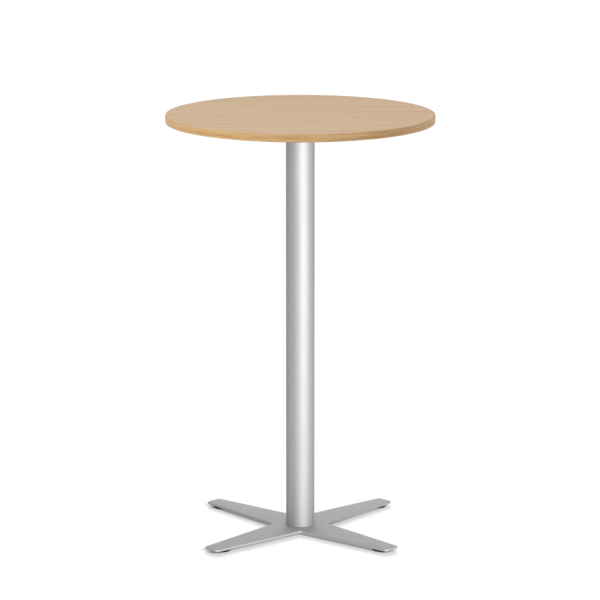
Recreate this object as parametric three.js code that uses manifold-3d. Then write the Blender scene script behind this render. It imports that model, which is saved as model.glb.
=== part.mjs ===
import * as THREE from 'three';
import { mergeVertices } from 'three/addons/utils/BufferGeometryUtils.js';
import Module from 'manifold-3d';

const wasm = await Module();
wasm.setup();

// Sizes are in millimetres. The floor is z = 0 under the middle of the column.
const tableHeight = 1112;

// Round top: chipboard core, a laminate on each face and a band round the rim.
const topDiameter = 700;
const topThickness = 20;
const laminateThickness = 1;
const bandThickness = 2;
const bandEdgeRadius = 1.8;
const bandEdgeSteps = 3;
const glueLine = 0.1;

// Four-arm plate that carries the top.
const carrierThickness = 5;
const carrier = {
  tipDistance: 230,
  tipHalfWidth: 20,
  notchDistance: 62,
  tipRadius: 12,
  notchRadius: 10,
  arcSteps: 3,
};
const carrierEdge = 0.6;

// Column: plain round tube with a tapped disc welded flush into each end.
const columnDiameter = 75;
const columnWall = 2;
const columnEdge = 0.4;
const insertThickness = 12;
const insertGap = 0.3;

// Base: flat four-arm plate with tapered arms and a softened upper edge.
const baseThickness = 6;
const base = {
  tipDistance: 334,
  tipHalfWidth: 24,
  notchDistance: 72.5,
  tipRadius: 11,
  notchRadius: 8,
  arcSteps: 5,
};
const baseUpperRadius = 2.4;
const baseUpperSteps = 3;
const baseLowerEdge = 0.6;

// Levelling glides: wide nylon pad on an M8 stud, in a blind tapped hole.
const glideDistance = 296;
const glideHeight = 6;
const glideRunGap = 0.3;
const padDiameter = 50;
const padFloorEdge = 1.2;
const padUpperEdge = 0.8;
const padFloorSkin = 1.6;
const padSocketHeight = 2.1;
const studFlangeDiameter = 18;
const studFlangeThickness = 1.8;
const studDiameter = 7.8;
const studReach = 4.6;
const studPoint = 0.8;
const studHoleDepth = 4.9;

// Countersunk M8 screws that hold the column to both four-arm plates.
const boltDistance = 22;
const boltDiameter = 7.8;
const boltHeadDiameter = 15.6;
const boltRim = 0.5;
const boltSocketAcross = 5;
const boltSocketDepth = 2.6;
const boltLength = 16;
const boltPoint = 1;

// Pan-head wood screws that hold the carrier plate under the top.
const screwDistances = [128, 204];
const screwDiameter = 4.5;
const screwHeadDiameter = 9;
const screwHeadHeight = 2.8;
const screwHeadRim = 0.9;
const screwHeadSteps = 2;
const screwLength = 20;
const screwPoint = 4;
const screwHoleSpare = 0.6;

// Radial gap between a fastener and its hole.
const holeGap = 0.3;

// How far a cut starts outside the face that it opens.
const cutOverrun = 1;

// Sides of the many-sided outlines that stand for circles.
const topSides = 80;
const columnSides = 40;
const padSides = 32;
const smallSides = 16;
const screwSides = 10;

// Heights of the faces that meet.
const baseBottom = glideHeight;
const baseTop = baseBottom + baseThickness;
const topUnderside = tableHeight - topThickness;
const carrierBottom = topUnderside - carrierThickness;
const columnLength = carrierBottom - baseTop;
const armAngles = [45, 135, 225, 315].map(THREE.MathUtils.degToRad);

const oakFace = { color: 0xcdb396, roughness: 0.5, metalness: 0 };
const oakBand = { color: 0xcaa472, roughness: 0.5, metalness: 0 };
const chipboard = { color: 0xb08a5c, roughness: 0.9, metalness: 0 };
const backingPaper = { color: 0xd8cdbd, roughness: 0.7, metalness: 0 };
const silverPaint = { color: 0xb4b4b4, roughness: 0.4, metalness: 0.6 };
const bareSteel = { color: 0x8e8c88, roughness: 0.5, metalness: 0.9 };
const zincPlate = { color: 0xb9bcc0, roughness: 0.35, metalness: 0.9 };
const blackNylon = { color: 0x1b1b1c, roughness: 0.6, metalness: 0 };

function piece(name, geometry, look) {
  const mesh = new THREE.Mesh(geometry, new THREE.MeshStandardMaterial(look));
  mesh.name = name;
  return mesh;
}

// A solid turned about Z from [radius, height] points that run anticlockwise.
function turned(profile, sides) {
  const points = profile.map(([radius, height]) => new THREE.Vector2(radius, height));
  return new THREE.LatheGeometry(points, sides).rotateX(Math.PI / 2);
}

function disc(radius, thickness, sides) {
  return turned([[0, 0], [radius, 0], [radius, thickness], [0, thickness]], sides);
}

// A quarter round of a turned profile, anticlockwise from the given angle.
function quarterRound(centreRadius, centreHeight, soft, from, steps) {
  const points = [];
  for (let step = 0; step <= steps; step += 1) {
    const angle = from + step / steps * Math.PI / 2;
    points.push([centreRadius + soft * Math.cos(angle), centreHeight + soft * Math.sin(angle)]);
  }
  return points;
}

function toSolid(geometry) {
  const bare = geometry.clone();
  bare.deleteAttribute('normal');
  bare.deleteAttribute('uv');
  const merged = mergeVertices(bare, 1e-3);
  const corners = merged.index.array;
  const triangles = [];
  for (let i = 0; i < corners.length; i += 3) {
    const [a, b, c] = corners.slice(i, i + 3);
    if (a !== b && b !== c && c !== a) {
      triangles.push(a, b, c);
    }
  }
  return new wasm.Manifold(new wasm.Mesh({
    numProp: 3,
    vertProperties: new Float32Array(merged.attributes.position.array),
    triVerts: new Uint32Array(triangles),
  }));
}

function toGeometry(solid) {
  const mesh = solid.getMesh();
  const geometry = new THREE.BufferGeometry();
  geometry.setAttribute('position', new THREE.BufferAttribute(new Float32Array(mesh.vertProperties), 3));
  geometry.setIndex(new THREE.BufferAttribute(new Uint32Array(mesh.triVerts), 1));
  geometry.computeVertexNormals();
  return geometry;
}

// The blank with every cutter taken away from it.
function drilled(blank, cutters) {
  let solid = toSolid(blank);
  for (const cutter of cutters) {
    solid = solid.subtract(toSolid(cutter));
  }
  return toGeometry(solid);
}

// Points round the four arms, each with the direction that faces out of the plate.
function crossOutline(cross) {
  const notchAlong = cross.notchDistance * Math.SQRT1_2;
  const run = cross.tipDistance - notchAlong;
  const sideFacing = Math.atan2(run, notchAlong - cross.tipHalfWidth);
  const tipInset = cross.tipRadius * (1 - Math.cos(sideFacing)) / Math.sin(sideFacing);
  const tipAcross = cross.tipHalfWidth - tipInset;
  const notchCentre = cross.notchDistance + cross.notchRadius / Math.cos(sideFacing - Math.PI / 4);
  const points = [];

  function arc(centreX, centreY, radius, from, to, turn) {
    for (let step = 0; step <= cross.arcSteps; step += 1) {
      const facing = from + (to - from) * step / cross.arcSteps + turn;
      const x = centreX * Math.cos(turn) - centreY * Math.sin(turn) + radius * Math.cos(facing);
      const y = centreX * Math.sin(turn) + centreY * Math.cos(turn) + radius * Math.sin(facing);
      points.push({ x, y, outX: Math.cos(facing), outY: Math.sin(facing) });
    }
  }

  for (const turn of armAngles) {
    const tipCentre = cross.tipDistance - cross.tipRadius;
    const notchMiddle = notchCentre * Math.SQRT1_2;
    arc(tipCentre, -tipAcross, cross.tipRadius, -sideFacing, 0, turn);
    arc(tipCentre, tipAcross, cross.tipRadius, 0, sideFacing, turn);
    arc(notchMiddle, notchMiddle, -cross.notchRadius, sideFacing, Math.PI / 2 - sideFacing, turn);
  }
  return points;
}

// A plate with this outline; each layer is [inset from the outline, height].
function layeredPlate(outline, layers) {
  const count = outline.length;
  const positions = [];
  const corners = [];
  for (const [inset, height] of layers) {
    for (const point of outline) {
      positions.push(point.x - inset * point.outX, point.y - inset * point.outY, height);
    }
  }
  for (let layer = 0; layer + 1 < layers.length; layer += 1) {
    for (let i = 0; i < count; i += 1) {
      const a = layer * count + i;
      const b = layer * count + (i + 1) % count;
      corners.push(a, b, b + count, a, b + count, a + count);
    }
  }
  const upper = (layers.length - 1) * count;
  const contour = outline.map((point) => new THREE.Vector2(point.x, point.y));
  for (const [a, b, c] of THREE.ShapeUtils.triangulateShape(contour, [])) {
    corners.push(c, b, a, upper + a, upper + b, upper + c);
  }
  const geometry = new THREE.BufferGeometry();
  geometry.setAttribute('position', new THREE.Float32BufferAttribute(positions, 3));
  geometry.setIndex(corners);
  geometry.computeVertexNormals();
  return geometry;
}

// Cuts at the same distance along each of the four arms.
function onArms(distance, height, makeCutter) {
  return armAngles.map((angle) => makeCutter().translate(
    distance * Math.cos(angle),
    distance * Math.sin(angle),
    height,
  ));
}

// Clearance for a countersunk screw whose head is flush with z = 0 and points down.
function countersinkCutter(depth) {
  const head = boltHeadDiameter / 2 + holeGap;
  const shank = boltDiameter / 2 + holeGap;
  const profile = [
    [0, -cutOverrun],
    [head, -cutOverrun],
    [head, boltRim],
    [shank, boltRim + head - shank],
    [shank, depth],
    [0, depth],
  ];
  return turned(profile, smallSides);
}

// Countersunk screw with a hexagon socket: head face at z = 0, shank towards +Z.
function countersunkScrew() {
  const head = boltHeadDiameter / 2;
  const shank = boltDiameter / 2;
  const blank = turned([
    [0, 0],
    [head, 0],
    [head, boltRim],
    [shank, boltRim + head - shank],
    [shank, boltLength - boltPoint],
    [shank - boltPoint, boltLength],
    [0, boltLength],
  ], smallSides);
  const socket = disc(boltSocketAcross / Math.sqrt(3), boltSocketDepth + cutOverrun, 6);
  return drilled(blank, [socket.translate(0, 0, -cutOverrun)]);
}

// Pan-head wood screw: head under z = 0, shank towards +Z.
function woodScrew() {
  const head = screwHeadDiameter / 2;
  const shank = screwDiameter / 2;
  const soft = screwHeadHeight - screwHeadRim;
  return turned([
    [0, -screwHeadHeight],
    ...quarterRound(head - soft, -screwHeadRim, soft, -Math.PI / 2, screwHeadSteps),
    [head, 0],
    [shank, 0],
    [shank, screwLength - screwPoint],
    [0, screwLength],
  ], screwSides);
}

// Holes for the wood screws, this deep from z = 0 up.
function screwHoles(depth) {
  const hole = () => disc(screwDiameter / 2 + holeGap, depth + cutOverrun, screwSides);
  return screwDistances.flatMap((distance) => onArms(distance, -cutOverrun, hole));
}

function buildTop() {
  const group = new THREE.Group();
  const boardRadius = topDiameter / 2 - bandThickness - glueLine;
  const coreThickness = topThickness - 2 * laminateThickness;
  const coreBottom = topUnderside + laminateThickness;

  const pilotDepth = screwLength + screwHoleSpare - carrierThickness - laminateThickness;
  const core = drilled(disc(boardRadius, coreThickness, topSides), screwHoles(pilotDepth));
  const coreBoard = piece('top_core_board', core, chipboard);
  coreBoard.position.z = coreBottom;

  const laminate = piece('top_laminate', disc(boardRadius, laminateThickness, topSides), oakFace);
  laminate.position.z = tableHeight - laminateThickness;

  const sheet = disc(boardRadius, laminateThickness, topSides);
  const backing = drilled(sheet, screwHoles(laminateThickness + cutOverrun));
  const backingLaminate = piece('backing_laminate', backing, backingPaper);
  backingLaminate.position.z = topUnderside;

  const outer = topDiameter / 2;
  const inner = outer - bandThickness;
  const soft = bandEdgeRadius;
  const band = piece('edge_band', turned([
    [inner, 0],
    ...quarterRound(outer - soft, soft, soft, -Math.PI / 2, bandEdgeSteps),
    ...quarterRound(outer - soft, topThickness - soft, soft, 0, bandEdgeSteps),
    [inner, topThickness],
    [inner, 0],
  ], topSides), oakBand);
  band.position.z = topUnderside;

  group.add(coreBoard, laminate, backingLaminate, band);
  return group;
}

function buildCarrier() {
  const group = new THREE.Group();
  const blank = layeredPlate(crossOutline(carrier), [
    [carrierEdge, 0],
    [0, carrierEdge],
    [0, carrierThickness],
  ]);
  const boltCuts = onArms(boltDistance, carrierThickness, () => (
    countersinkCutter(carrierThickness + cutOverrun).rotateX(Math.PI)
  ));
  const plate = drilled(blank, [...boltCuts, ...screwHoles(carrierThickness + cutOverrun)]);
  const mountingPlate = piece('mounting_plate', plate, silverPaint);
  mountingPlate.position.z = carrierBottom;
  group.add(mountingPlate);

  armAngles.forEach((angle, arm) => {
    const bolt = countersunkScrew().rotateX(Math.PI);
    const plateBolt = piece(`plate_bolt_${arm + 1}`, bolt, zincPlate);
    plateBolt.position.set(boltDistance * Math.cos(angle), boltDistance * Math.sin(angle), topUnderside);
    group.add(plateBolt);
    screwDistances.forEach((distance, row) => {
      const number = row * armAngles.length + arm + 1;
      const screw = piece(`top_screw_${number}`, woodScrew(), zincPlate);
      screw.position.set(distance * Math.cos(angle), distance * Math.sin(angle), carrierBottom);
      group.add(screw);
    });
  });
  return group;
}

function buildColumn() {
  const group = new THREE.Group();
  const outer = columnDiameter / 2;
  const inner = outer - columnWall;
  const tube = piece('column_tube', turned([
    [inner, 0],
    [outer - columnEdge, 0],
    [outer, columnEdge],
    [outer, columnLength - columnEdge],
    [outer - columnEdge, columnLength],
    [inner, columnLength],
    [inner, 0],
  ], columnSides), silverPaint);
  tube.position.z = baseTop;
  group.add(tube);

  const tapped = () => disc(boltDiameter / 2 + holeGap, insertThickness + 2 * cutOverrun, smallSides);
  const ends = {
    column_bottom_insert: baseTop,
    column_top_insert: carrierBottom - insertThickness,
  };
  for (const [name, height] of Object.entries(ends)) {
    const blank = disc(inner - insertGap, insertThickness, columnSides);
    const insert = piece(name, drilled(blank, onArms(boltDistance, -cutOverrun, tapped)), bareSteel);
    insert.position.z = height;
    group.add(insert);
  }
  return group;
}

function buildBase() {
  const group = new THREE.Group();
  const softEdge = quarterRound(0, baseThickness - baseUpperRadius, baseUpperRadius, 0, baseUpperSteps);
  const blank = layeredPlate(crossOutline(base), [
    [baseLowerEdge, 0],
    [0, baseLowerEdge],
    ...softEdge.map(([reach, height]) => [baseUpperRadius - reach, height]),
  ]);
  const studHole = () => disc(studDiameter / 2 + holeGap, studHoleDepth + cutOverrun, smallSides);
  const plate = drilled(blank, [
    ...onArms(boltDistance, 0, () => countersinkCutter(baseThickness + cutOverrun)),
    ...onArms(glideDistance, -cutOverrun, studHole),
  ]);
  const baseCross = piece('base_cross', plate, silverPaint);
  baseCross.position.z = baseBottom;
  group.add(baseCross);

  armAngles.forEach((angle, arm) => {
    const bolt = piece(`base_bolt_${arm + 1}`, countersunkScrew(), zincPlate);
    bolt.position.set(boltDistance * Math.cos(angle), boltDistance * Math.sin(angle), baseBottom);
    group.add(bolt);
  });
  return group;
}

// Nylon pad with a socket under its lid that holds the flange of the stud.
function glidePad() {
  const outer = padDiameter / 2;
  const upper = glideHeight - glideRunGap;
  const socket = studFlangeDiameter / 2 + holeGap;
  const bore = studDiameter / 2 + holeGap;
  const lid = padFloorSkin + padSocketHeight;
  return turned([
    [0, 0],
    [outer - padFloorEdge, 0],
    [outer, padFloorEdge],
    [outer, upper - padUpperEdge],
    [outer - padUpperEdge, upper],
    [bore, upper],
    [bore, lid],
    [socket, lid],
    [socket, padFloorSkin],
    [0, padFloorSkin],
  ], padSides);
}

function glideStud() {
  const flange = studFlangeDiameter / 2;
  const shank = studDiameter / 2;
  const low = padFloorSkin + (padSocketHeight - studFlangeThickness) / 2;
  const high = glideHeight + studReach;
  return turned([
    [0, low],
    [flange, low],
    [flange, low + studFlangeThickness],
    [shank, low + studFlangeThickness],
    [shank, high - studPoint],
    [shank - studPoint, high],
    [0, high],
  ], smallSides);
}

function buildGlides() {
  const group = new THREE.Group();
  armAngles.forEach((angle, arm) => {
    const glide = new THREE.Group();
    glide.position.set(glideDistance * Math.cos(angle), glideDistance * Math.sin(angle), 0);
    glide.add(piece(`glide_stud_${arm + 1}`, glideStud(), zincPlate));
    glide.add(piece(`glide_pad_${arm + 1}`, glidePad(), blackNylon));
    group.add(glide);
  });
  return group;
}

const table = new THREE.Group();
table.name = 'standing_meeting_table';
table.add(buildTop(), buildCarrier(), buildColumn(), buildBase(), buildGlides());

export default table;
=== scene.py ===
import math
import bpy
import bmesh
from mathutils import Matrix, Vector


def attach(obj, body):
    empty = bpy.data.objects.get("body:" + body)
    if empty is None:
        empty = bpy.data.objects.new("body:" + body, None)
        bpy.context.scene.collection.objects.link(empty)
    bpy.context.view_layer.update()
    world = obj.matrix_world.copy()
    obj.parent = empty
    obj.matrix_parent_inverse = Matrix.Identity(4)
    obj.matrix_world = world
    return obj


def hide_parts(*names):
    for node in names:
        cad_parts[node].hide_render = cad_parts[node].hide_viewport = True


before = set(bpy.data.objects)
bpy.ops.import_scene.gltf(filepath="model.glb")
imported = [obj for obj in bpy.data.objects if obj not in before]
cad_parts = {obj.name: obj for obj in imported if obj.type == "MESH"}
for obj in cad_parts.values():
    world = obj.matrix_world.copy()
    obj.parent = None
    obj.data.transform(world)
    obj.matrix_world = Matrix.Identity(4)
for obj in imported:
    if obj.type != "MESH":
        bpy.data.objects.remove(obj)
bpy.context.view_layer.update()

mm = 0.001
near = 0.1 * mm  # places closer than this count as one
overrun = 1 * mm  # how far a cutter starts outside the face it opens
ledge = 0.01 * mm  # height given to a sudden step in a round piece
levelFace = 0.999  # Z of a normal past which a face counts as level
sideFace = 0.01  # Z of a normal under which a face counts as upright
smoothAngle = math.radians(32)  # edges sharper than this stay crisp
armAngles = [math.radians(a) for a in (45, 135, 225, 315)]


# small helpers for working the way the viewport does

def deselectAll():
    if bpy.context.object and bpy.context.object.mode != "OBJECT":
        bpy.ops.object.mode_set(mode="OBJECT")
    bpy.ops.object.select_all(action="DESELECT")


def selectOnly(piece):
    deselectAll()
    piece.select_set(True)
    bpy.context.view_layer.objects.active = piece


def editPiece(piece):
    selectOnly(piece)
    bpy.ops.object.mode_set(mode="EDIT")
    bpy.ops.mesh.select_mode(type="FACE")
    bpy.ops.mesh.select_all(action="DESELECT")


def pick(piece, kind, test):
    bpy.ops.mesh.select_mode(type={"faces": "FACE", "edges": "EDGE"}[kind])
    bpy.ops.mesh.select_all(action="DESELECT")
    mesh = bmesh.from_edit_mesh(piece.data)
    for item in getattr(mesh, kind):
        if test(item):
            item.select_set(True)
    mesh.select_flush_mode()
    bmesh.update_edit_mesh(piece.data)


def leaveEdit():
    bpy.ops.mesh.select_all(action="SELECT")
    bpy.ops.mesh.normals_make_consistent(inside=False)
    bpy.ops.object.mode_set(mode="OBJECT")


def edgeMiddle(edge):
    return (edge.verts[0].co + edge.verts[1].co) / 2


def isUpright(edge):
    return abs(edge.verts[0].co.z - edge.verts[1].co.z) > near


def flatRadius(point):
    return math.hypot(point.x, point.y)


def onArm(distance, angle, height=0.0):
    return Vector((distance * math.cos(angle), distance * math.sin(angle), height))


def copyPiece(source, place):
    selectOnly(source)
    bpy.ops.object.duplicate(linked=False)
    twin = bpy.context.object
    twin.location = place
    return twin


def turnOver(piece):
    selectOnly(piece)
    piece.rotation_euler = (math.pi, 0, 0)
    bpy.ops.object.transform_apply(rotation=True)


def removePieces(*pieces):
    for piece in pieces:
        bpy.data.objects.remove(piece, do_unlink=True)


def cutAway(piece, cutter):
    selectOnly(piece)
    cut = piece.modifiers.new("cut", "BOOLEAN")
    cut.operation = "DIFFERENCE"
    cut.solver = "EXACT"
    cut.object = cutter
    bpy.ops.object.modifier_apply(modifier=cut.name)
    removePieces(cutter)


def paintPiece(piece, material):
    piece.data.materials.clear()
    piece.data.materials.append(material)


# smooth the round faces, put the place into the mesh and hang the piece on its body
def finishPiece(piece, name, node, body, material):
    selectOnly(piece)
    bpy.ops.object.transform_apply(location=True, rotation=True, scale=True)
    bpy.ops.object.shade_smooth_by_angle(angle=smoothAngle)
    piece.name = name
    piece.data.name = name
    paintPiece(piece, material)
    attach(piece, body)
    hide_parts(node)
    return piece


# a plain upright cylinder between two heights, ready to be shaped
def roundBlank(sides, radius, low, high):
    deselectAll()
    bpy.ops.mesh.primitive_cylinder_add(
        vertices=sides, radius=radius, depth=high - low, location=(0, 0, (low + high) / 2))
    piece = bpy.context.object
    bpy.ops.object.transform_apply(location=True)
    editPiece(piece)
    return piece


# a round solid pulled up ring by ring from a filled circle; steps are (height, radius)
def pulledRings(sides, steps):
    deselectAll()
    height, radius = steps[0]
    bpy.ops.mesh.primitive_circle_add(
        vertices=sides, radius=radius, fill_type="NGON", location=(0, 0, height))
    piece = bpy.context.object
    bpy.ops.object.transform_apply(location=True)
    editPiece(piece)
    bpy.ops.mesh.select_all(action="SELECT")
    for nextHeight, nextRadius in steps[1:]:
        bpy.ops.mesh.extrude_region_move(
            TRANSFORM_OT_translate={"value": (0, 0, nextHeight - height)})
        scale = nextRadius / radius
        bpy.ops.transform.resize(value=(scale, scale, 1), center_override=(0, 0, nextHeight))
        height, radius = nextHeight, nextRadius
    leaveEdit()
    return piece


# a ring or tube: a cylinder with softened rims whose ends are inset and bridged through
def hollowRing(size):
    piece = roundBlank(size["sides"], size["outer"], size["low"], size["high"])
    pick(piece, "edges", lambda e: not isUpright(e))
    bpy.ops.mesh.bevel(
        offset=size["rim"], segments=size["rimSteps"], affect="EDGES", clamp_overlap=False)
    pick(piece, "faces", lambda f: abs(f.normal.z) > levelFace)
    bpy.ops.mesh.inset(
        thickness=size["wall"] - size["rim"], use_individual=True, use_even_offset=True)
    pick(piece, "faces", lambda f: abs(f.normal.z) > levelFace and len(f.verts) == size["sides"])
    bpy.ops.mesh.delete(type="ONLY_FACE")
    pick(piece, "edges", lambda e: e.is_boundary)
    bpy.ops.mesh.bridge_edge_loops()
    leaveEdit()
    return piece


# helpers for materials and their nodes

def startMaterial(name):
    material = bpy.data.materials.new(name)
    material.use_nodes = True
    tree = material.node_tree
    return material, tree, tree.nodes["Principled BSDF"]


def addNode(tree, kind, place, **settings):
    node = tree.nodes.new(kind)
    node.location = place
    for key, value in settings.items():
        setattr(node, key, value)
    return node


def setInputs(node, **values):
    for key, value in values.items():
        node.inputs[key.replace("_", " ")].default_value = value


def addMath(tree, place, operation, first, second):
    node = addNode(tree, "ShaderNodeMath", place, operation=operation)
    for socket, value in zip(node.inputs, (first, second)):
        if isinstance(value, (int, float)):
            socket.default_value = value
        else:
            tree.links.new(value, socket)
    return node.outputs[0]


# first, second and result sockets of a Mix node by its data type
mixSockets = {"FLOAT": (2, 3, 0), "RGBA": (6, 7, 2)}


def addMix(tree, place, kind, **settings):
    mix = addNode(tree, "ShaderNodeMix", place, data_type=kind, **settings)
    first, second, result = mixSockets[kind]
    return mix.inputs["Factor"], mix.inputs[first], mix.inputs[second], mix.outputs[result]


def addRange(tree, place, value, **settings):
    node = addNode(tree, "ShaderNodeMapRange", place)
    setInputs(node, **settings)
    tree.links.new(value, node.inputs["Value"])
    return node.outputs["Result"]


def addRamp(tree, place, value, stops):
    ramp = addNode(tree, "ShaderNodeValToRGB", place)
    elements = ramp.color_ramp.elements
    while len(elements) < len(stops):
        elements.new(0.5)
    for element, (position, colour) in zip(elements, stops):
        element.position = position
        element.color = (*colour, 1)
    tree.links.new(value, ramp.inputs["Fac"])
    return ramp.outputs["Color"]


def addBump(tree, shader, height, look):
    bump = addNode(tree, "ShaderNodeBump", (0, -500))
    setInputs(bump, Strength=look["bump"], Distance=look["bumpDepth"])
    tree.links.new(height, bump.inputs["Height"])
    tree.links.new(bump.outputs["Normal"], shader.inputs["Normal"])


def objectPlace(tree, place):
    return addNode(tree, "ShaderNodeTexCoord", place).outputs["Object"]


# a screen colour of 0 to 255 as the shader wants it
def srgb(red, green, blue):
    def toLinear(value):
        value /= 255
        return value / 12.92 if value <= 0.04045 else ((value + 0.055) / 1.055) ** 2.4
    return (toLinear(red), toLinear(green), toLinear(blue))


def startGroup(name, inputs, outputs):
    group = bpy.data.node_groups.new(name, "ShaderNodeTree")
    for way, sockets in (("INPUT", inputs), ("OUTPUT", outputs)):
        for socket, kind in sockets.items():
            group.interface.new_socket(socket, in_out=way, socket_type=kind)
    return group


def placeGroup(tree, group, place, vector):
    node = addNode(tree, "ShaderNodeGroup", place)
    node.node_tree = group
    tree.links.new(vector, node.inputs["Vector"])
    return node


vectorSocket = "NodeSocketVector"
floatSocket = "NodeSocketFloat"

grainSet = {
    "wide": {"Scale": 1.0, "Detail": 3.0, "Roughness": 0.55, "Distortion": 0.35},
    "fine": {"Scale": 5.5, "Detail": 5.0, "Roughness": 0.62, "Distortion": 0.15},
    "pore": {"Scale": 11.0, "Detail": 2.0, "Roughness": 0.5, "Distortion": 0.0},
    "fineShare": 0.55,
    "streakRange": (0.33, 0.67),
    "poreRange": (0.6, 0.74),
}


# long streaks and short pores of a wood decor; the grain runs along X of the vector
def makeGrainGroup():
    group = startGroup(
        "woodGrain", {"Vector": vectorSocket, "Stretch": vectorSocket},
        {"Streaks": floatSocket, "Pores": floatSocket})
    inputs = addNode(group, "NodeGroupInput", (-900, 0))
    outputs = addNode(group, "NodeGroupOutput", (700, 0))
    stretch = addNode(group, "ShaderNodeVectorMath", (-700, 0), operation="MULTIPLY")
    group.links.new(inputs.outputs["Vector"], stretch.inputs[0])
    group.links.new(inputs.outputs["Stretch"], stretch.inputs[1])
    noise = {}
    for name, height in (("wide", 250), ("fine", 0), ("pore", -300)):
        texture = addNode(group, "ShaderNodeTexNoise", (-450, height))
        setInputs(texture, **grainSet[name])
        group.links.new(stretch.outputs["Vector"], texture.inputs["Vector"])
        noise[name] = texture.outputs["Fac"]

    factor, first, second, both = addMix(group, (-150, 150), "FLOAT")
    factor.default_value = grainSet["fineShare"]
    group.links.new(noise["wide"], first)
    group.links.new(noise["fine"], second)
    low, high = grainSet["streakRange"]
    streaks = addRange(group, (100, 150), both, From_Min=low, From_Max=high)
    group.links.new(streaks, outputs.inputs["Streaks"])
    low, high = grainSet["poreRange"]
    dashes = addRange(group, (100, -300), noise["pore"], From_Min=low, From_Max=high)
    group.links.new(dashes, outputs.inputs["Pores"])
    return group


speckleSet = {
    "grain": {"Detail": 2.0, "Roughness": 0.6},
    "clouds": {"Detail": 3.0, "Roughness": 0.5},
    "range": (0.3, 0.7),
}


# fine speckle with slow clouds over it, for paint, plating and moulded plastic
def makeSpeckleGroup():
    group = startGroup(
        "fineSpeckle",
        {"Vector": vectorSocket, "Grain Scale": floatSocket, "Cloud Scale": floatSocket},
        {"Grain": floatSocket, "Clouds": floatSocket})
    inputs = addNode(group, "NodeGroupInput", (-700, 0))
    outputs = addNode(group, "NodeGroupOutput", (300, 0))
    for name, height, scale, result in (
            ("grain", 150, "Grain Scale", "Grain"), ("clouds", -150, "Cloud Scale", "Clouds")):
        texture = addNode(group, "ShaderNodeTexNoise", (-400, height))
        setInputs(texture, **speckleSet[name])
        group.links.new(inputs.outputs["Vector"], texture.inputs["Vector"])
        group.links.new(inputs.outputs[scale], texture.inputs["Scale"])
        group.links.new(texture.outputs["Fac"], outputs.inputs[result])
    return group


grainGroup = makeGrainGroup()
speckleGroup = makeSpeckleGroup()


# colour from three stops along the streaks, darker pores, roughness and bump from the same grain
def woodDecor(tree, shader, vector, look):
    grain = placeGroup(tree, grainGroup, (-700, 0), vector)
    streaks, pores = grain.outputs["Streaks"], grain.outputs["Pores"]
    grain.inputs["Stretch"].default_value = look["stretch"]
    stops = [(0.0, look["dark"]), (0.5, look["middle"]), (1.0, look["light"])]
    colour = addRamp(tree, (-450, 150), streaks, stops)
    factor, first, second, result = addMix(tree, (-100, 150), "RGBA", blend_type="MULTIPLY")
    tree.links.new(addMath(tree, (-300, -50), "MULTIPLY", pores, look["poreDepth"]), factor)
    tree.links.new(colour, first)
    second.default_value = (*look["pore"], 1)
    tree.links.new(result, shader.inputs["Base Color"])
    low, high = look["rough"]
    rough = addRange(tree, (-300, -250), streaks, To_Min=low, To_Max=high)
    tree.links.new(rough, shader.inputs["Roughness"])
    shader.inputs["Specular IOR Level"].default_value = look["shine"]
    addBump(tree, shader, pores, look)


faceLook = {
    "dark": srgb(187, 157, 123),
    "middle": srgb(203, 175, 142),
    "light": srgb(214, 188, 157),
    "pore": srgb(196, 178, 160),
    "poreDepth": 0.5,
    "stretch": (2.2, 60.0, 60.0),
    "rough": (0.46, 0.56),
    "bump": 0.08,
    "bumpDepth": -0.1 * mm,
    "shine": 0.05,
}


def makeFaceMaterial():
    material, tree, shader = startMaterial("oakLaminate")
    woodDecor(tree, shader, objectPlace(tree, (-1000, 0)), faceLook)
    return material


bandLook = {
    "dark": srgb(160, 120, 74),
    "middle": srgb(189, 151, 104),
    "light": srgb(211, 180, 138),
    "pore": srgb(190, 168, 140),
    "poreDepth": 0.55,
    "stretch": (3.0, 130.0, 3.0),
    "rough": (0.4, 0.5),
    "bump": 0.08,
    "bumpDepth": -0.1 * mm,
    "shine": 0.2,
    "radius": 350 * mm,
    "shift": 12 * mm,
}


# the band's grain runs round the rim, so the angle is laid out as a length
def makeBandMaterial():
    material, tree, shader = startMaterial("oakBand")
    apart = addNode(tree, "ShaderNodeSeparateXYZ", (-1500, 0))
    tree.links.new(objectPlace(tree, (-1700, 0)), apart.inputs["Vector"])
    flip = addMath(tree, (-1450, 200), "MULTIPLY", apart.outputs["Y"], -1)
    angle = addMath(tree, (-1300, 100), "ARCTAN2", apart.outputs["X"], flip)
    along = addMath(tree, (-1150, 100), "MULTIPLY", angle, bandLook["radius"])
    across = addMath(tree, (-1150, -100), "ADD", apart.outputs["Z"], bandLook["shift"])
    unrolled = addNode(tree, "ShaderNodeCombineXYZ", (-950, 0))
    tree.links.new(along, unrolled.inputs["X"])
    tree.links.new(across, unrolled.inputs["Y"])
    woodDecor(tree, shader, unrolled.outputs["Vector"], bandLook)
    return material


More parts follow.
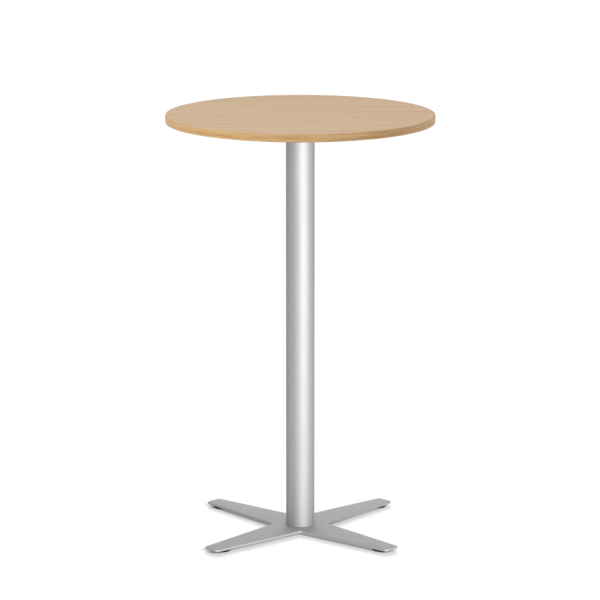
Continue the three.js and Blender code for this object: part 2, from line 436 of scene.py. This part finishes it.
# speckled colour and roughness from the shared group, with a fine bump
def makeSpeckled(name, look):
    material, tree, shader = startMaterial(name)
    speckle = placeGroup(tree, speckleGroup, (-750, 0), objectPlace(tree, (-1000, 0)))
    speckle.inputs["Grain Scale"].default_value = look["grainScale"]
    speckle.inputs["Cloud Scale"].default_value = look["cloudScale"]
    low, high = speckleSet["range"]
    stops = [(low, look["dark"]), (high, look["light"])]
    colour = addRamp(tree, (-450, 150), speckle.outputs["Grain"], stops)
    tree.links.new(colour, shader.inputs["Base Color"])
    smooth, coarse = look["rough"]
    rough = addRange(
        tree, (-450, -200), speckle.outputs["Clouds"],
        From_Min=low, From_Max=high, To_Min=smooth, To_Max=coarse)
    tree.links.new(rough, shader.inputs["Roughness"])
    addBump(tree, shader, speckle.outputs["Grain"], look)
    shader.inputs["Metallic"].default_value = look["metallic"]
    if "edgeTint" in look:
        shader.inputs["Specular Tint"].default_value = (*look["edgeTint"], 1)
    if "shine" in look:
        shader.inputs["Specular IOR Level"].default_value = look["shine"]
    return material


silverLook = {
    "dark": srgb(160, 160, 160),
    "light": srgb(171, 171, 171),
    "grainScale": 1400.0,
    "cloudScale": 9.0,
    "rough": (0.68, 0.7),
    "bump": 0.05,
    "bumpDepth": 0.2 * mm,
    "metallic": 1.0,
    "edgeTint": (0.8, 0.8, 0.8),
}

# the same paint on the tube, which darkens more towards its sides
tubeLook = {**silverLook, "edgeTint": (0.25, 0.25, 0.25)}

nylonLook = {
    "dark": srgb(13, 13, 14),
    "light": srgb(24, 24, 25),
    "grainScale": 900.0,
    "cloudScale": 60.0,
    "rough": (0.5, 0.66),
    "bump": 0.15,
    "bumpDepth": 0.2 * mm,
    "metallic": 0.0,
    "shine": 0.15,
}

zincLook = {
    "dark": srgb(178, 181, 186),
    "light": srgb(206, 208, 210),
    "grainScale": 600.0,
    "cloudScale": 140.0,
    "rough": (0.24, 0.4),
    "bump": 0.05,
    "bumpDepth": 0.1 * mm,
    "metallic": 1.0,
}

steelLook = {
    "dark": srgb(128, 126, 122),
    "light": srgb(158, 156, 152),
    "grainScale": 420.0,
    "cloudScale": 40.0,
    "rough": (0.4, 0.6),
    "bump": 0.1,
    "bumpDepth": 0.2 * mm,
    "metallic": 1.0,
}

backingLook = {
    "dark": srgb(208, 198, 184),
    "light": srgb(222, 213, 200),
    "grainScale": 260.0,
    "cloudScale": 7.0,
    "rough": (0.55, 0.68),
    "bump": 0.06,
    "bumpDepth": 0.2 * mm,
    "metallic": 0.0,
}

chipLook = {
    "dark": srgb(140, 104, 66),
    "middle": srgb(178, 140, 94),
    "light": srgb(204, 172, 126),
    "chipScale": 320.0,
    "rough": 0.85,
    "bump": 0.3,
    "bumpDepth": 0.5 * mm,
}


def makeChipboardMaterial():
    material, tree, shader = startMaterial("chipboard")
    chips = addNode(tree, "ShaderNodeTexVoronoi", (-650, 0))
    setInputs(chips, Scale=chipLook["chipScale"])
    tree.links.new(objectPlace(tree, (-900, 0)), chips.inputs["Vector"])
    tone = addNode(tree, "ShaderNodeSeparateColor", (-450, 0))
    tree.links.new(chips.outputs["Color"], tone.inputs["Color"])
    stops = [(0.0, chipLook["dark"]), (0.5, chipLook["middle"]), (1.0, chipLook["light"])]
    colour = addRamp(tree, (-250, 0), tone.outputs["Red"], stops)
    tree.links.new(colour, shader.inputs["Base Color"])
    addBump(tree, shader, chips.outputs["Distance"], chipLook)
    shader.inputs["Roughness"].default_value = chipLook["rough"]
    return material


oakLaminate = makeFaceMaterial()
oakBand = makeBandMaterial()
silverPaint = makeSpeckled("silverPaint", silverLook)
silverTube = makeSpeckled("silverTube", tubeLook)
blackNylon = makeSpeckled("blackNylon", nylonLook)
zincPlate = makeSpeckled("zincPlate", zincLook)
bareSteel = makeSpeckled("bareSteel", steelLook)
backingLaminate = makeSpeckled("backingLaminate", backingLook)
chipboard = makeChipboardMaterial()
print("materials ready")


faceSize = {
    "radius": 347.9 * mm, "low": 1111 * mm, "high": 1112 * mm, "sides": 256,
    "rim": 0.12 * mm, "rimSteps": 2, "inset": 4 * mm,
}


def buildFace():
    size = faceSize
    piece = roundBlank(size["sides"], size["radius"], size["low"], size["high"])
    pick(piece, "edges", lambda e: min(v.co.z for v in e.verts) > size["high"] - near)
    bpy.ops.mesh.bevel(offset=size["rim"], segments=size["rimSteps"], affect="EDGES")
    pick(piece, "faces", lambda f: f.normal.z > levelFace)
    bpy.ops.mesh.inset(thickness=size["inset"])
    leaveEdit()
    return finishPiece(piece, "top_face", "top_laminate", "table", oakLaminate)


bandSize = {
    "outer": 350 * mm, "wall": 2 * mm, "low": 1092 * mm, "high": 1112 * mm,
    "sides": 256, "rim": 1.8 * mm, "rimSteps": 6,
}


def buildBand():
    piece = hollowRing(bandSize)
    return finishPiece(piece, "rim_band", "edge_band", "table", oakBand)


buildFace()
buildBand()
paintPiece(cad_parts["top_core_board"], chipboard)
paintPiece(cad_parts["backing_laminate"], backingLaminate)
print("top built")


columnSize = {
    "outer": 37.5 * mm, "wall": 2 * mm, "low": 12 * mm, "high": 1087 * mm,
    "sides": 128, "rim": 0.4 * mm, "rimSteps": 3,
}


def buildColumn():
    piece = hollowRing(columnSize)
    return finishPiece(piece, "column", "column_tube", "table", silverTube)


buildColumn()
for insert in ("column_top_insert", "column_bottom_insert"):
    paintPiece(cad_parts[insert], bareSteel)
print("column built")


def roundEdges(offset, segments):
    bpy.ops.mesh.bevel(offset=offset, segments=segments, affect="EDGES", clamp_overlap=False)


# the middle is a square on its corner; each side is pulled out to an arm and narrowed
def crossBlank(size):
    low, high, tip = size["low"], size["high"], size["tip"]
    deselectAll()
    bpy.ops.mesh.primitive_circle_add(
        vertices=len(armAngles), radius=size["notch"], fill_type="NGON", location=(0, 0, high))
    piece = bpy.context.object
    bpy.ops.object.transform_apply(location=True)
    root = size["notch"] * math.sqrt(0.5)
    narrow = size["tipHalf"] / root
    for angle in armAngles:
        along, rootMiddle = onArm(1, angle), onArm(root, angle, high)
        editPiece(piece)
        pick(piece, "edges", lambda e: (edgeMiddle(e) - rootMiddle).length < near)
        bpy.ops.mesh.extrude_region_move(TRANSFORM_OT_translate={"value": along * (tip - root)})
        bpy.ops.transform.resize(
            value=(narrow, narrow, 1), center_override=onArm(tip, angle, high))
    pick(piece, "edges", lambda e: len(e.link_faces) == 2)
    bpy.ops.mesh.dissolve_edges(use_verts=False)
    bpy.ops.mesh.select_all(action="SELECT")
    bpy.ops.mesh.extrude_region_move(TRANSFORM_OT_translate={"value": (0, 0, low - high)})
    bpy.ops.mesh.select_all(action="SELECT")
    bpy.ops.mesh.normals_make_consistent(inside=False)

    lean = math.atan2(root - size["tipHalf"], tip - root)
    tipCut = size["tipRound"] * math.tan((math.pi / 2 - lean) / 2)
    notchCut = size["notchRound"] * math.tan(math.pi / 4 - lean)
    halfway = (size["notch"] + tip) / 2
    pick(piece, "edges", lambda e: isUpright(e) and flatRadius(edgeMiddle(e)) > halfway)
    roundEdges(tipCut, size["tipSteps"])
    pick(piece, "edges", lambda e: isUpright(e) and flatRadius(edgeMiddle(e)) < halfway)
    roundEdges(notchCut, size["notchSteps"])
    pick(piece, "edges", lambda e: min(v.co.z for v in e.verts) > high - near)
    roundEdges(size["upperRound"], size["upperSteps"])
    pick(piece, "edges", lambda e: max(v.co.z for v in e.verts) < low + near)
    roundEdges(size["lowerRound"], size["lowerSteps"])
    leaveEdit()
    return piece


screwSize = {
    "distance": 22 * mm, "head": 7.8 * mm, "shank": 3.9 * mm, "rim": 0.5 * mm, "soft": 0.25 * mm,
    "length": 16 * mm, "runOut": 1 * mm, "point": 1 * mm, "sides": 40,
    "pitch": 1.25 * mm, "threadDepth": 0.55 * mm,
    "socketAcross": 5 * mm, "socketDepth": 2.6 * mm, "drillDepth": 0.8 * mm, "drillTip": 0.2 * mm,
    "gap": 0.3 * mm, "holeSides": 48,
}


# head face at z = 0, shank upwards
def countersinkCutter(depth):
    size = screwSize
    head, shank = size["head"] + size["gap"], size["shank"] + size["gap"]
    neck = size["rim"] + head - shank
    steps = [(-overrun, head), (size["rim"], head), (neck, shank), (depth, shank)]
    return pulledRings(size["holeSides"], steps)


baseSize = {
    "notch": 72.5 * mm, "tip": 334 * mm, "tipHalf": 24 * mm, "low": 6 * mm, "high": 12 * mm,
    "tipRound": 11 * mm, "tipSteps": 10, "notchRound": 8 * mm, "notchSteps": 8,
    "upperRound": 2.4 * mm, "upperSteps": 6, "lowerRound": 0.6 * mm, "lowerSteps": 2,
    "studDistance": 296 * mm, "studHole": 4.2 * mm, "studHoleTop": 10.9 * mm, "studHoleSides": 48,
}


def buildBase():
    size = baseSize
    piece = crossBlank(size)
    countersink = countersinkCutter(size["high"] - size["low"] + overrun)
    studHole = pulledRings(size["studHoleSides"], [
        (size["low"] - overrun, size["studHole"]), (size["studHoleTop"], size["studHole"])])
    for angle in armAngles:
        cutAway(piece, copyPiece(countersink, onArm(screwSize["distance"], angle, size["low"])))
        cutAway(piece, copyPiece(studHole, onArm(size["studDistance"], angle)))
    removePieces(countersink, studHole)
    return finishPiece(piece, "base_plate", "base_cross", "table", silverPaint)


carrierSize = {
    "notch": 62 * mm, "tip": 230 * mm, "tipHalf": 20 * mm, "low": 1087 * mm, "high": 1092 * mm,
    "tipRound": 12 * mm, "tipSteps": 10, "notchRound": 10 * mm, "notchSteps": 8,
    "upperRound": 0.2 * mm, "upperSteps": 1, "lowerRound": 0.6 * mm, "lowerSteps": 2,
    "screwDistances": (128 * mm, 204 * mm), "screwHole": 2.55 * mm, "screwHoleSides": 32,
}


def buildCarrier():
    size = carrierSize
    piece = crossBlank(size)
    countersink = countersinkCutter(size["high"] - size["low"] + overrun)
    turnOver(countersink)
    screwHole = pulledRings(size["screwHoleSides"], [
        (size["low"] - overrun, size["screwHole"]), (size["high"] + overrun, size["screwHole"])])
    for angle in armAngles:
        cutAway(piece, copyPiece(countersink, onArm(screwSize["distance"], angle, size["high"])))
        for distance in size["screwDistances"]:
            cutAway(piece, copyPiece(screwHole, onArm(distance, angle)))
    removePieces(countersink, screwHole)
    return finishPiece(piece, "top_carrier", "mounting_plate", "table", silverPaint)


buildBase()
buildCarrier()
print("plates built")


# shares of the pitch at which a thread reaches its root, leaves it and is back at its crest
threadShape = {"root": 0.35, "rootEnd": 0.5, "crest": 0.85}


# rings of a thread between two heights, as (height, radius)
def threadSteps(low, high, size):
    crest, pitch = size["shank"], size["pitch"]
    root = crest - size["threadDepth"]
    steps = []
    height = low
    while height + pitch < high:
        steps += [(height + pitch * threadShape["root"], root)]
        steps += [(height + pitch * threadShape["rootEnd"], root)]
        steps += [(height + pitch * threadShape["crest"], crest), (height + pitch, crest)]
        height += pitch
    return steps


def buildCountersunkScrew():
    size = screwSize
    head, shank, rim, soft = size["head"], size["shank"], size["rim"], size["soft"]
    length, point = size["length"], size["point"]
    neck = rim + head - shank
    steps = [(0, head - soft), (soft, head), (rim, head), (neck, shank)]
    steps += threadSteps(neck + size["runOut"], length - point, size)
    steps += [(length - point, shank), (length, shank - point)]
    piece = pulledRings(size["sides"], steps)
    corner, deep = size["socketAcross"] / math.sqrt(3), size["socketDepth"]
    socketSteps = [(-overrun, corner), (deep, corner), (deep + size["drillDepth"], size["drillTip"])]
    cutAway(piece, pulledRings(6, socketSteps))
    return piece


woodScrewSize = {
    "head": 4.5 * mm, "headHeight": 2.8 * mm, "shank": 2.25 * mm, "length": 20 * mm,
    "point": 4 * mm, "pointTip": 0.1 * mm, "runOut": 1 * mm, "sides": 32,
    "pitch": 1.8 * mm, "threadDepth": 0.6 * mm,
    "slotWidth": 0.9 * mm, "slotLength": 5 * mm, "slotDepth": 1.6 * mm, "slotTaper": 0.35,
    # rounded head as shares of its height and radius
    "headProfile": ((1, 0.45), (0.96, 0.66), (0.8, 0.86), (0.5, 0.97), (0.2, 1)),
}


# pan head under z = 0 with a cross recess, thread upwards
def buildWoodScrew():
    size = woodScrewSize
    head, tall, shank = size["head"], size["headHeight"], size["shank"]
    pointStart, taper = size["length"] - size["point"], size["slotTaper"]
    steps = [(-tall * down, head * out) for down, out in size["headProfile"]]
    steps += [(0, head), (ledge, shank)]
    steps += threadSteps(size["runOut"], pointStart, size)
    steps += [(pointStart, shank), (size["length"], size["pointTip"])]
    piece = pulledRings(size["sides"], steps)
    for turn in (0, math.pi / 2):
        deselectAll()
        bpy.ops.mesh.primitive_cube_add(size=1, location=(0, 0, -tall), rotation=(0, 0, turn))
        slot = bpy.context.object
        slot.scale = (size["slotLength"], size["slotWidth"], size["slotDepth"] * 2)
        bpy.ops.object.transform_apply(location=True, rotation=True, scale=True)
        editPiece(slot)
        pick(slot, "faces", lambda f: f.normal.z > levelFace)
        bpy.ops.transform.resize(
            value=(taper, taper, 1), center_override=(0, 0, -tall + size["slotDepth"]))
        leaveEdit()
        cutAway(piece, slot)
    return piece


def finishScrew(piece, name, node):
    finishPiece(piece, name, node, "table", zincPlate)


def buildScrews():
    distance = screwSize["distance"]
    headDown = buildCountersunkScrew()
    headUp = copyPiece(headDown, (0, 0, 0))
    turnOver(headUp)
    woodScrew = buildWoodScrew()
    for arm, angle in enumerate(armAngles, 1):
        low = copyPiece(headDown, onArm(distance, angle, baseSize["low"]))
        finishScrew(low, f"base_screw_{arm}", f"base_bolt_{arm}")
        high = copyPiece(headUp, onArm(distance, angle, carrierSize["high"]))
        finishScrew(high, f"carrier_screw_{arm}", f"plate_bolt_{arm}")
        for row, away in enumerate(carrierSize["screwDistances"]):
            number = row * len(armAngles) + arm
            wood = copyPiece(woodScrew, onArm(away, angle, carrierSize["low"]))
            finishScrew(wood, f"wood_screw_{number}", f"top_screw_{number}")
    removePieces(headDown, headUp, woodScrew)


buildScrews()
print("screws built")


padSize = {
    "radius": 25 * mm, "high": 5.7 * mm, "sides": 120,
    "floorEdge": 1.2 * mm, "floorUp": 0.35, "floorOut": 0.4, "upperEdge": 0.8 * mm, "upperShare": 0.3,
    "skin": 1.6 * mm, "lid": 3.7 * mm, "socket": 9.3 * mm, "bore": 4.2 * mm,
    "gripEvery": 4, "gripInset": 0.15 * mm, "gripDepth": 0.35 * mm, "gripZone": 0.95,
}


# low disc with shallow grips round its rim and a socket for the stud's flange
def buildPad():
    size = padSize
    radius, high, foot, soft = size["radius"], size["high"], size["floorEdge"], size["upperEdge"]
    share = soft * size["upperShare"]
    steps = [(0, radius - foot), (foot * size["floorUp"], radius - foot * size["floorOut"])]
    steps += [(foot, radius), (high - soft, radius), (high - share, radius - share)]
    steps += [(high, radius - soft), (high, size["bore"]), (size["lid"], size["bore"])]
    steps += [(size["lid"], size["socket"]), (size["skin"], size["socket"])]
    piece = pulledRings(size["sides"], steps)
    editPiece(piece)
    turn = 2 * math.pi / size["sides"]

    def isGrip(face):
        middle = face.calc_center_median()
        number = math.floor(math.atan2(middle.y, middle.x) / turn)
        onRim = abs(face.normal.z) < sideFace and flatRadius(middle) > radius * size["gripZone"]
        return onRim and number % size["gripEvery"] == 0

    pick(piece, "faces", isGrip)
    bpy.ops.mesh.inset(thickness=size["gripInset"], use_individual=True)
    inward = 1 - size["gripDepth"] / radius
    bpy.ops.transform.resize(value=(inward, inward, 1), center_override=(0, 0, 0))
    leaveEdit()
    return piece


studSize = {
    "flange": 9 * mm, "low": 1.75 * mm, "flangeHigh": 3.55 * mm, "soft": 0.2 * mm, "sides": 40,
    "shank": 3.9 * mm, "high": 10.6 * mm, "runOut": 0.6 * mm, "point": 0.8 * mm,
    "pitch": 1.25 * mm, "threadDepth": 0.55 * mm,
}


def buildStud():
    size = studSize
    low, flangeHigh, high = size["low"], size["flangeHigh"], size["high"]
    flange, shank, soft, point = size["flange"], size["shank"], size["soft"], size["point"]
    steps = [(low, flange - soft), (low + soft, flange)]
    steps += [(flangeHigh, flange), (flangeHigh + ledge, shank)]
    steps += threadSteps(flangeHigh + size["runOut"], high - point, size)
    steps += [(high - point, shank), (high, shank - point)]
    return pulledRings(size["sides"], steps)


def buildGlides():
    pad = buildPad()
    stud = buildStud()
    for arm, angle in enumerate(armAngles, 1):
        place = onArm(baseSize["studDistance"], angle)
        disc = copyPiece(pad, place)
        finishPiece(
            disc, f"pad_disc_{arm}", f"glide_pad_{arm}", f"pad_{arm}", blackNylon)
        rod = copyPiece(stud, place)
        finishPiece(
            rod, f"stud_rod_{arm}", f"glide_stud_{arm}", f"stud_{arm}", zincPlate)
    removePieces(pad, stud)


buildGlides()
print("glides built")


# one for what the camera and shiny pieces see, nought for plain light
def backdropRays(tree, place):
    left, height = place
    rays = addNode(tree, "ShaderNodeLightPath", place).outputs
    seen = addMath(
        tree, (left + 200, height), "MAXIMUM", rays["Is Camera Ray"], rays["Is Glossy Ray"])
    return addMath(tree, (left + 400, height), "MAXIMUM", seen, rays["Is Transmission Ray"])


floorLook = {
    "size": 120.0, "height": -0.05 * mm, "colour": (0.55, 0.55, 0.55), "lift": 0.07,
    "rough": 0.9, "shine": 0.0,
}


# a pale floor that keeps the shadow; what is seen of it is lifted to white, from below it is clear
def buildFloor():
    look = floorLook
    deselectAll()
    bpy.ops.mesh.primitive_plane_add(size=look["size"], location=(0, 0, look["height"]))
    floor = bpy.context.object
    floor.name = "floor"
    material, tree, shader = startMaterial("paleFloor")
    shader.inputs["Base Color"].default_value = (*look["colour"], 1)
    shader.inputs["Roughness"].default_value = look["rough"]
    shader.inputs["Specular IOR Level"].default_value = look["shine"]
    shader.inputs["Emission Color"].default_value = (1, 1, 1, 1)
    seen = backdropRays(tree, (-900, 300))
    lift = addMath(tree, (-300, 300), "MULTIPLY", seen, look["lift"])
    tree.links.new(lift, shader.inputs["Emission Strength"])
    side = addNode(tree, "ShaderNodeNewGeometry", (300, -200))
    clear = addNode(tree, "ShaderNodeBsdfTransparent", (300, -450))
    either = addNode(tree, "ShaderNodeMixShader", (550, 0))
    tree.links.new(side.outputs["Backfacing"], either.inputs["Fac"])
    tree.links.new(shader.outputs["BSDF"], either.inputs[1])
    tree.links.new(clear.outputs["BSDF"], either.inputs[2])
    tree.links.new(either.outputs["Shader"], tree.nodes["Material Output"].inputs["Surface"])
    floor.data.materials.append(material)


worldLook = {"light": 0.72, "backdrop": 1.0, "colour": (1, 1, 1)}


def buildWorld():
    world = bpy.data.worlds.new("studio")
    world.use_nodes = True
    bpy.context.scene.world = world
    tree = world.node_tree
    background = tree.nodes["Background"]
    level = addRange(
        tree, (-300, 0), backdropRays(tree, (-900, 0)),
        To_Min=worldLook["light"], To_Max=worldLook["backdrop"])
    tree.links.new(level, background.inputs["Strength"])
    background.inputs["Color"].default_value = (*worldLook["colour"], 1)


padNames = tuple(f"pad_disc_{arm}" for arm in range(1, len(armAngles) + 1))
baseScrewNames = tuple(f"base_screw_{arm}" for arm in range(1, len(armAngles) + 1))

# each lamp lights only the pieces listed for it, and only what it lists under shades blocks it, if
# anything; the two suns draw the base's shadow and underBox shines up through the floor
lampSet = {
    "metalBox": {
        "kind": "AREA", "place": (2.8, -6.44, 0.085), "aim": (0, 0, 0.085),
        "size": (4.2, 0.15), "power": 735.0, "lights": ("column", "base_plate"),
    },
    "rearBox": {
        "kind": "AREA", "place": (0, 7.0, 0.085), "aim": (0, 0, 0.085),
        "size": (4.2, 0.15), "power": 480.0, "lights": ("column",),
    },
    "upperSpot": {
        "kind": "SPOT", "place": (0.5, -7.0, 0.4), "aim": (0, 0, 1.16),
        "angle": 5.5, "soft": 1, "power": 640.0, "lights": ("column",),
    },
    "woodBox": {
        "kind": "AREA", "place": (-3.8, -3.4, 4.3), "aim": (0, 0, 1.1),
        "size": (2.5, 2.5), "power": 190.0, "lights": ("top_face", "rim_band"),
    },
    "backBox": {
        "kind": "AREA", "place": (0, 5.2, 1.7), "aim": (0, 0, 0),
        "size": (4.0, 2.0), "power": 58.0, "lights": ("base_plate",),
    },
    "underBox": {
        "kind": "AREA", "place": (0, 0, -3), "aim": (0, 0, 0), "size": (1.2, 1.2), "power": 70.0,
        "lights": ("base_plate", *padNames, *baseScrewNames), "shades": padNames,
    },
    "floorSun": {
        "kind": "SUN", "place": (0, 5, 1.9), "aim": (0, 0, 0), "angle": 24, "power": 4.8,
        "lights": ("floor",), "shades": ("base_plate", *padNames),
    },
    "frontSun": {
        "kind": "SUN", "place": (2.8, -4.2, 3.2), "aim": (0, 0, 0), "angle": 24, "power": 3.0,
        "lights": ("floor",), "shades": ("base_plate", *padNames),
    },
}


def linkPieces(name, pieces):
    group = bpy.data.collections.new(name)
    for piece in pieces:
        group.objects.link(bpy.data.objects[piece])
    return group


def buildLamps():
    for name, look in lampSet.items():
        deselectAll()
        bpy.ops.object.light_add(type=look["kind"], location=look["place"])
        lamp = bpy.context.object
        lamp.name = name
        lamp.data.energy = look["power"]
        if look["kind"] == "AREA":
            lamp.data.shape = "RECTANGLE"
            lamp.data.size, lamp.data.size_y = look["size"]
        elif look["kind"] == "SPOT":
            lamp.data.spot_size = math.radians(look["angle"])
            lamp.data.spot_blend = look["soft"]
        else:
            lamp.data.angle = math.radians(look["angle"])
        lamp.visible_camera = False
        beam = Vector(look["aim"]) - Vector(look["place"])
        lamp.rotation_euler = beam.to_track_quat("-Z", "Y").to_euler()
        lamp.light_linking.receiver_collection = linkPieces(name + "Lights", look["lights"])
        if "shades" in look:
            lamp.light_linking.blocker_collection = linkPieces(name + "Shades", look["shades"])


cameraSet = {
    "distance": 8.136, "height": 2.3234, "tilt": 0.20648, "turn": 0.012,
    "focal": 3169.2, "width": 600, "shift": -0.0005, "sensor": 36, "clipEnd": 300,
}


def buildCamera():
    setting = cameraSet
    deselectAll()
    turn, away = setting["turn"], setting["distance"]
    place = (-away * math.sin(turn), -away * math.cos(turn), setting["height"])
    bpy.ops.object.camera_add(location=place, rotation=(math.pi / 2 - setting["tilt"], 0, -turn))
    camera = bpy.context.object
    camera.data.sensor_fit = "HORIZONTAL"
    camera.data.sensor_width = setting["sensor"]
    camera.data.lens = setting["focal"] / setting["width"] * setting["sensor"]
    camera.data.shift_x = setting["shift"]
    camera.data.clip_end = setting["clipEnd"]
    bpy.context.scene.camera = camera


buildFloor()
buildWorld()
buildLamps()
buildCamera()
bpy.context.scene.view_settings.view_transform = "Standard"
print("stage built")

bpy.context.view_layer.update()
deselectAll()
